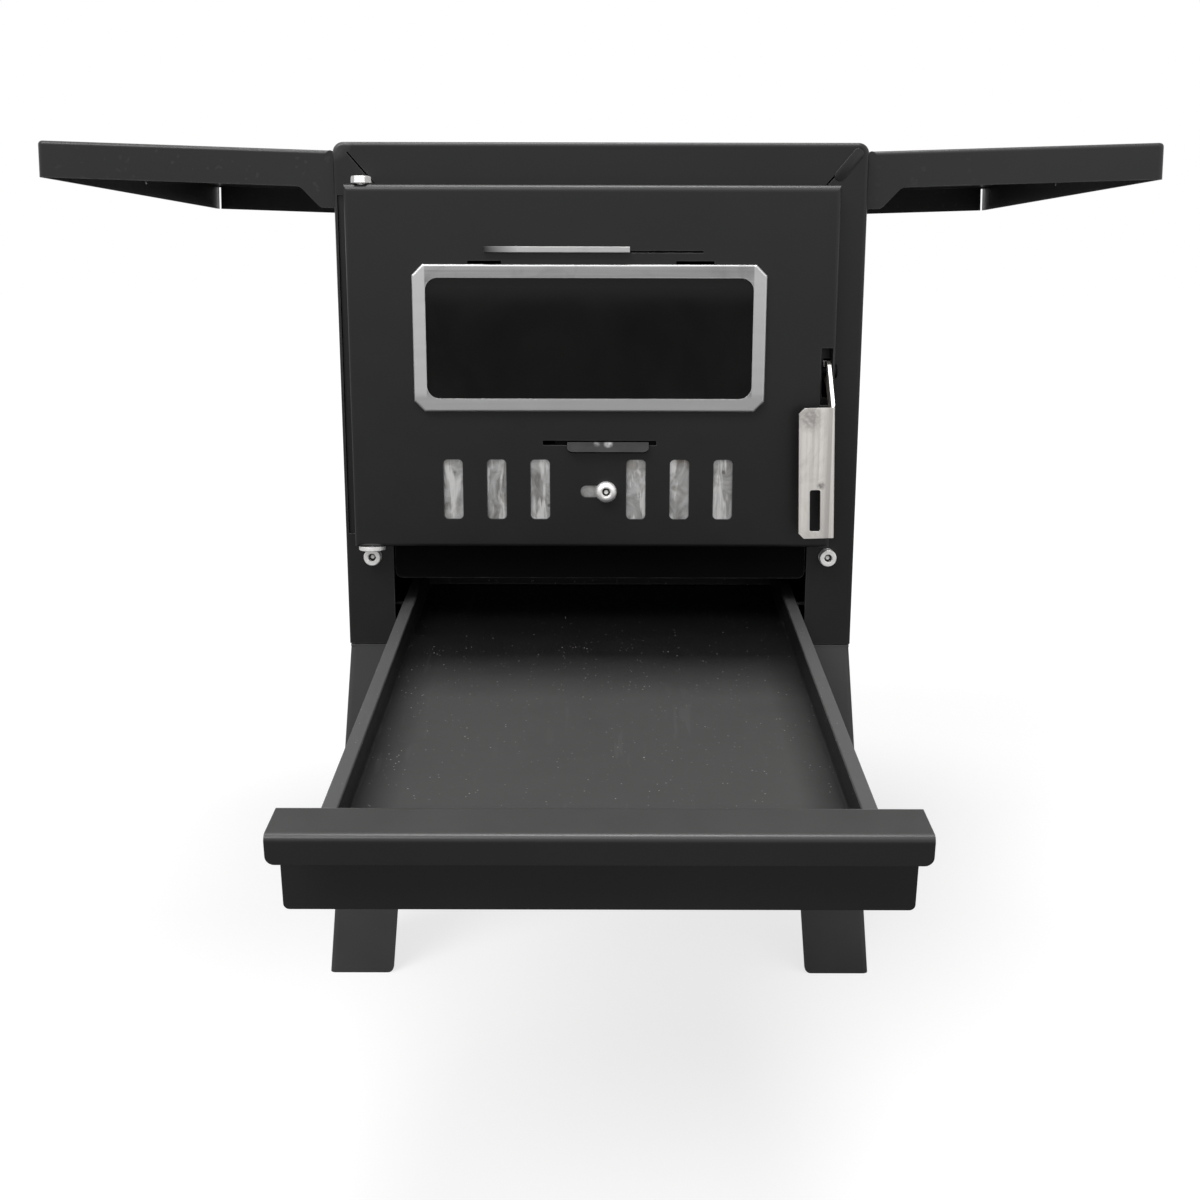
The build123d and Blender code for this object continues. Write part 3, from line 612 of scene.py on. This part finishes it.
@dataclass
class Finishes:
    """Every finish of the stove, made once."""

    # The body paint's spots: a paler rubbed spot at the left upper corner, and a black spot at the right upper
    # corner, painted shade for the shaded relief there.
    body: bpy.types.Material = worn(HeatPaint(
        "body_paint", level=0.011,
        rubs_and_shade=(((-150.0, FRONT, 495.0), 12.0, 0.1), ((145.0, FRONT, 491.5), 3.6, 0.0))))
    inner: bpy.types.Material = worn(HeatPaint("inner_paint", level=0.002, roughness=0.6, gloss=0.05))
    door: bpy.types.Material = worn(HeatPaint("door_paint", level=0.0125))
    # The tray is painted darker beside its side walls and towards its back, painted shade, and paler on its two
    # rims, a painted highlight; its up-facing faces are paler with dust and painted top light.
    tray: bpy.types.Material = worn(HeatPaint(
        "tray_paint", level=0.01, roughness=0.44, gloss=0.34, specks=1.0, scratches=0.3, edge=0.3, dust_and_top_light=0.052,
        painted_light_zones=(("X", -109.0, -90.0, 0.012), ("X", 109.0, 90.0, 0.012), ("Y", -95.0, -160.0, 0.004),
               ("X", -111.8, -111.2, 0.082), ("X", 111.8, 111.2, 0.082))))
    # The drawer front's up-facing faces, the handle's top among them, are painted paler: painted top light and
    # dust.
    drawer: bpy.types.Material = worn(HeatPaint(
        "drawer_paint", level=0.015, roughness=0.3, gloss=0.42, edge=0.0, dust_and_top_light=0.05))
    shelf: bpy.types.Material = worn(HeatPaint("shelf_paint", level=0.018, scratches=0.3))
    # The leg paint is paler than the other black paint, painted light for the light on the legs' leaning faces.
    leg: bpy.types.Material = worn(HeatPaint("leg_paint", level=0.065))
    iron: bpy.types.Material = worn(CastIron("cast_grate"))
    steel: bpy.types.Material = worn(SheetSteel(
        "steel", level=0.4, warmth=0.02, roughness=0.38, brushed=0.3, smudges=0.5))
    # The screw finish paints a dark ring inside each driver socket: painted shade.
    screw: bpy.types.Material = worn(SheetSteel(
        "stainless_screw", level=0.96, warmth=0.01, roughness=0.55, brushed=0.15, smudges=0.1,
        socket_shades=((-134.0, 259.4, 2.2), (134.0, 259.4, 2.2), (3.4, 300.0, 2.3))))
    # The window frame is painted paler in bands along its left, right and lower edges, painted highlights, and
    # its cut edges are tinted pale, a painted highlight.
    window: bpy.types.Material = worn(SheetSteel(
        "window_steel", level=0.4, brushed=0.9, smudges=0.35, edge=1.0,
        painted_light_zones=(("X", -98.4, -97.8, 0.66), ("X", 85.6, 85.2, 0.6), ("Z", 353.5, 356.5, 0.5))))
    # The upper tab is painted dark towards its left end, a painted dark reflection, and dark behind its bend,
    # painted shade inside the slot.
    tab: bpy.types.Material = worn(SheetSteel(
        "tab_steel", level=0.8, roughness=0.3, brushed=0.4, smudges=0.2,
        painted_light_zones=(("X", -66.0, -46.0, 0.008), ("Y", TAB_BEND + 0.5, TAB_BEND, 0.006))))
    # The lower tab's metal is made nearly black, painted shade for the shade it sits in, and darker still
    # behind its bend, painted shade inside the slot; its two pale spots are rough marks.
    tab_low: bpy.types.Material = worn(SheetSteel(
        "tab_steel_painted_shade", level=0.028, roughness=0.36, brushed=0.6, smudges=0.4, edge=0.03,
        painted_light_zones=(("Y", TAB_BEND + 0.5, TAB_BEND, 0.006),),
        dents=(((4.5, TAB_FACE, 327.6), 3.0, 0.24), ((-2.0, TAB_FACE, 327.6), 2.2, 0.13))))
    # The latch lever carries a darker band along the bend at its right edge, painted shade, and is pale again
    # on its rim beyond, a painted highlight.
    latch: bpy.types.Material = worn(SheetSteel(
        "latch_steel", level=0.92, warmth=0.045, roughness=0.36, grain=Grain.UPWARDS, brushed=0.25,
        smudges=0.35, edge=0.9, painted_light_zones=(("X", 127.6, 126.4, 0.62), ("X", 129.9, 129.4, 0.86)),
        dents=(((117.0, GRIP_FACE, 344.0), 9.0, 0.45), ((124.5, GRIP_FACE, 306.0), 2.8, 0.25))))
    zinc: bpy.types.Material = worn(ZincSheet("galvanised"))
    pane: bpy.types.Material = worn(StovePane("glass_pane"))
    seal: bpy.types.Material = worn(WovenSeal("seal"))


@dataclass
class StoveBody(Assembly):
    """The folded casing with its rear, base, rails and flue socket, and the two screws under the door."""

    screw_x: float = 134.0
    screw_z: float = 259.4
    shank: float = 3.0
    head: float = 5.0
    head_high: float = 6.0
    knurl: float = 0.03
    socket: float = 2.1
    tongue_half: float = 3.1
    tongue_long: float = 15.0
    tongue_lean: float = 50.0
    tongue_thick: float = 0.9
    tongue_round: float = 0.35
    tongue_spot: Point = (133.8, FRONT + 0.3, 476.3)

    def dress(self, finishes: Finishes) -> None:
        """Paints the folded sheets."""
        self.paint(finishes.body, "casing", "rear_panel", "bottom_plate", "rail_right", "rail_left",
                   "drawer_stops", "flue_collar", "shelf_hinge_right", "shelf_hinge_left")
        self.paint(finishes.steel, "support_rod", "shelf_pin_right", "shelf_pin_left")

    def build(self, finishes: Finishes) -> None:
        """Makes the two socket cap screws and the tongue in the corner seam."""
        for side, sign in (("left", -1), ("right", 1)):
            piece = self.cap_screw(f"cap_screw_{side}", sign * self.screw_x)
            self.fit(piece, "stove", "stainless_screw", finishes.screw, "cap_screws")
        self.fit(self.tongue(), "stove", "body_paint", finishes.body)

    def cap_screw(self, name: str, across: float) -> bpy.types.Object:
        """One knurled socket cap screw.

        Args:
            name: The piece's name.
            across: Where it sits along X.

        Returns:
            The screw, its head to the front.
        """
        head, high = self.head, self.head_high
        stack = RingStack((across, FRONT, self.screw_z), (0, -1, 0))
        stack.ring(self.shank, -9.0).ring(self.shank, 0.02)
        stack.ring(head - 0.1, 0.02).ring(head, 0.2).ring(head, 0.6)
        stack.ring(head, 0.7, notch=self.knurl).ring(head, high - 0.8, notch=self.knurl)
        stack.ring(head - 0.05, high - 0.7).ring(head - 0.15, high - 0.3).ring(head - 0.4, high)
        stack.ring(self.socket + 0.4, high).ring(self.socket + 0.25, high - 0.15)
        stack.ring(self.socket, high - 0.2, 6).ring(self.socket, high - 2.6, 6)
        return stack.ring(0.9, high - 3.0, 6).close().done(name)

    def tongue(self) -> bpy.types.Object:
        """The thin tongue of sheet, rounded at its end, that laps the seam at the right upper corner."""
        mesh = bmesh.new()
        bmesh.ops.create_circle(mesh, cap_ends=True, segments=32, radius=self.tongue_half)
        far = [vert for vert in mesh.verts if vert.co.x > 0.01]
        bmesh.ops.translate(mesh, vec=(self.tongue_long, 0, 0), verts=far)
        made = bmesh.ops.extrude_face_region(mesh, geom=mesh.faces[:])["geom"]
        upper = [item for item in made if isinstance(item, bmesh.types.BMVert)]
        bmesh.ops.translate(mesh, vec=(0, 0, self.tongue_thick), verts=upper)
        rim = [edge for edge in mesh.edges if all(vert.co.z > self.tongue_thick / 2 for vert in edge.verts)]
        bmesh.ops.bevel(mesh, geom=rim, offset=self.tongue_round, affect="EDGES", segments=2, profile=0.5,
                        material=-1)
        upright = Matrix.Rotation(math.radians(90.0), 4, "X")
        lean = Matrix.Rotation(math.radians(-self.tongue_lean), 4, "Y") @ upright
        spot = Matrix.Translation(Vector(self.tongue_spot))
        bmesh.ops.transform(mesh, matrix=spot @ lean, verts=mesh.verts)
        return to_object(mesh, "seam_tongue")


@dataclass
class Firebox(Assembly):
    """The floor, grate and baffle inside."""

    def dress(self, finishes: Finishes) -> None:
        """Paints the plates and gives the grate its cast skin."""
        self.paint(finishes.inner, "firebox_floor", "crossbar", "baffle_plate", "baffle_brackets")
        self.paint(finishes.iron, "grate")


@dataclass
class AshDrawer(Assembly):
    """The tray and its folded front."""

    def dress(self, finishes: Finishes) -> None:
        """Paints the tray, with its specks and scratches, and the front."""
        self.paint(finishes.tray, "drawer_tray")
        self.paint(finishes.drawer, "drawer_front")


@dataclass
class WindowedDoor(Assembly):
    """The folded door with its window, its hinge and the parts behind it."""

    pivot_x: float = -133.0
    pivot_y: float = FRONT - 8.5
    bolt_foot: float = 461.5
    bolt_low: float = 470.9
    bolt_shank: float = 3.0
    bolt_half: float = 5.0
    bolt_high: float = 4.0

    def dress(self, finishes: Finishes) -> None:
        """Paints the door, its hinge and the parts behind it."""
        self.paint(finishes.door, "door_panel")
        self.paint(finishes.body, "hinge_ears", "hinge_plate")
        self.paint(finishes.inner, "glass_retainer", "slide_guides", "latch_bracket")
        self.paint(finishes.window, "window_frame")
        self.paint(finishes.pane, "glass_pane")
        self.paint(finishes.seal, "glass_seal")
        self.paint(finishes.screw, "hinge_pin")

    def build(self, finishes: Finishes) -> None:
        """Makes the upper hinge bolt with its chamfered hexagon head."""
        stack = RingStack((self.pivot_x, self.pivot_y, 0.0), (0, 0, 1))
        low, half, top = self.bolt_low, self.bolt_half, self.bolt_low + self.bolt_high
        stack.ring(self.bolt_shank, self.bolt_foot).ring(self.bolt_shank, low)
        stack.ring(half - 0.3, low).ring(half - 0.2, low + 0.3).ring(half, low + 0.3, 6)
        stack.ring(half - 0.25, top, 6, 0.55).ring(half - 0.4, top).ring(half - 1.4, top)
        stack.ring(half - 1.6, top - 0.1).ring(half - 2.6, top - 0.15).close()
        self.fit(stack.done("hinge_bolt_head"), "stove", "stainless_screw", finishes.screw, "hinge_bolt")


@dataclass
class AirControls(Assembly):
    """The galvanised slider with its knob screw, and the two tabbed plates."""

    knob_x: float = 3.4
    knob_z: float = 300.0
    knob_shank: float = 3.0
    knob_half: float = 6.0
    knob_brim: float = 16.4
    knob_flat: float = 2.9
    knob_dome: float = 2.9
    knob_socket: float = 2.4
    dome_rings: int = 8

    def dress(self, finishes: Finishes) -> None:
        """Gives the plates their bare metal."""
        self.paint(finishes.zinc, "air_slider")
        self.paint(finishes.screw, "knob_nut")
        self.paint(finishes.tab_low, "airwash_lower")
        self.paint(finishes.tab, "airwash_upper")

    def build(self, finishes: Finishes) -> None:
        """Makes the button-headed knob screw."""
        half, brim, flat, socket = self.knob_half, self.knob_brim, self.knob_flat, self.knob_socket
        top = brim + self.knob_dome
        stack = RingStack((self.knob_x, FRONT, self.knob_z), (0, -1, 0))
        stack.ring(self.knob_shank, 5.0).ring(self.knob_shank, brim - 2.1)
        stack.ring(half - 0.3, brim - 2.1).ring(half, brim - 1.9).ring(half, brim)
        for step in range(1, self.dome_rings):
            angle = step * math.pi / 2 / self.dome_rings
            stack.ring(flat + (half - flat) * math.cos(angle), brim + self.knob_dome * math.sin(angle))
        stack.ring(flat, top).ring(flat - 0.3, top - 0.15)
        stack.ring(socket, top - 0.3, 6).ring(socket, top - 2.5, 6).ring(1.0, top - 3.0, 6).close()
        self.fit(stack.done("knob_head"), "air_slide", "stainless_screw", finishes.screw, "knob_screw")


@dataclass
class DropLatch(Assembly):
    """The bent stainless lever and its pin."""

    def dress(self, finishes: Finishes) -> None:
        """Gives the lever its warm brushed steel."""
        self.paint(finishes.latch, "latch_handle")
        self.paint(finishes.inner, "latch_pin")


@dataclass
class SideShelves(Assembly):
    """The two folding shelves."""

    def dress(self, finishes: Finishes) -> None:
        """Paints the shelves."""
        self.paint(finishes.shelf, "shelf_right", "shelf_left")


@dataclass
class SplayedLegs(Assembly):
    """The four angle legs with their screws and nuts."""

    def dress(self, finishes: Finishes) -> None:
        """Paints the legs and gives the screws their steel."""
        self.paint(finishes.leg, "leg_front_right", "leg_front_left", "leg_rear_right", "leg_rear_left")
        self.paint(finishes.steel, "leg_screws", "leg_nuts")


@dataclass
class Studio:
    """The floor, the soft lamps, the plain white surroundings and the camera."""

    lens: float = 43.83
    stand: Point = (0.0, -0.90111, 0.4208)
    pitch: float = 12.48
    roll: float = 0.12
    world: float = 0.22
    floor_level: float = 0.27
    lift: float = 0.76
    lamps: tuple[tuple[str, float, float, Point], ...] = (
        ("key", 0.44, 30.0, (0.45, 0.62, -0.85)),
        ("fill", 0.08, 60.0, (-0.7, 0.6, -0.3)),
        ("overhead", 0.5, 26.0, (0.0, -0.08, -1.0)),
        ("front", 0.19, 44.0, (0.0, 0.5, -0.87)),
    )

    def surroundings(self) -> None:
        """Makes the surroundings: plain white to the eye and in reflections, softer as light on the object."""
        world = bpy.data.worlds.new("studio")
        world.use_nodes = True
        bpy.context.scene.world = world
        nodes, links = world.node_tree.nodes, world.node_tree.links
        background = nodes["Background"]
        path = nodes.new("ShaderNodeLightPath")
        first = nodes.new("ShaderNodeMath")
        first.operation = "MAXIMUM"
        links.new(path.outputs["Is Camera Ray"], first.inputs[0])
        links.new(path.outputs["Is Transmission Ray"], first.inputs[1])
        second = nodes.new("ShaderNodeMath")
        second.operation = "MAXIMUM"
        links.new(first.outputs[0], second.inputs[0])
        links.new(path.outputs["Is Glossy Ray"], second.inputs[1])
        level = nodes.new("ShaderNodeMapRange")
        level.inputs["To Min"].default_value = self.world
        level.inputs["To Max"].default_value = 1.0
        links.new(second.outputs[0], level.inputs["Value"])
        links.new(level.outputs["Result"], background.inputs["Strength"])
        background.inputs["Color"].default_value = (1.0, 1.0, 1.0, 1.0)

    def lamp(self, name: str, strength: float, spread: float, towards: Point) -> None:
        """Hangs a very broad soft lamp far away.

        Args:
            name: The lamp's name.
            strength: Its light on a surface that faces it, over pi.
            spread: How wide it looks from the object, in degrees.
            towards: Which way its light travels.
        """
        data = bpy.data.lights.new(name, "SUN")
        data.energy = strength * math.pi
        data.angle = math.radians(spread)
        lamp = bpy.data.objects.new(name, data)
        lamp.rotation_euler = Vector(towards).to_track_quat("-Z", "Y").to_euler()
        bpy.context.scene.collection.objects.link(lamp)

    def floor(self) -> None:
        """Lays the pale floor, which looks white and keeps the object's shadow."""
        mesh = bmesh.new()
        bmesh.ops.create_grid(mesh, x_segments=2, y_segments=2, size=FLOOR_REACH)
        floor = to_object(mesh, "floor")
        board = Board("pale_floor")
        board.constant("Specular IOR Level", 0.0)
        paper = board.noise(4.0, 2.0)
        colour = board.tint(paper, grey(self.floor_level * 0.995), grey(self.floor_level * 1.005))
        path = board.nodes.new("ShaderNodeLightPath")
        board.constant("Emission Color", (1.0, 1.0, 1.0))
        seen = board.maths("MULTIPLY", path.outputs["Is Camera Ray"], self.lift)
        board.feed(board.shader, "Emission Strength", seen)
        floor.data.materials.append(board.finish(colour, 0.9))

    def camera(self) -> None:
        """Sets the camera where the photograph was taken from."""
        data = bpy.data.cameras.new("camera")
        data.lens = self.lens
        data.sensor_width = 36.0
        camera = bpy.data.objects.new("camera", data)
        tip = Matrix.Rotation(math.radians(90.0 - self.pitch), 4, "X")
        lean = Matrix.Rotation(math.radians(self.roll), 4, "Z")
        camera.matrix_world = Matrix.Translation(Vector(self.stand)) @ tip @ lean
        bpy.context.scene.collection.objects.link(camera)
        bpy.context.scene.camera = camera

    def build(self) -> None:
        """Sets up everything round the object."""
        self.surroundings()
        self.floor()
        for name, strength, spread, towards in self.lamps:
            self.lamp(name, strength, spread, towards)
        self.camera()
        bpy.context.scene.view_settings.view_transform = "Standard"


def main() -> None:
    """Builds the stove's looks in order."""
    logging.basicConfig(level=logging.INFO, format="%(message)s")
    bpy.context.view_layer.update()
    finishes = Finishes()
    Studio().build()
    for part in (StoveBody(), Firebox(), AshDrawer(), WindowedDoor(), AirControls(), DropLatch(), SideShelves(),
                 SplayedLegs()):
        part.dress(finishes)
        part.build(finishes)
        log.info("finished %s", type(part).__name__)


if __name__ == "__main__":
    main()
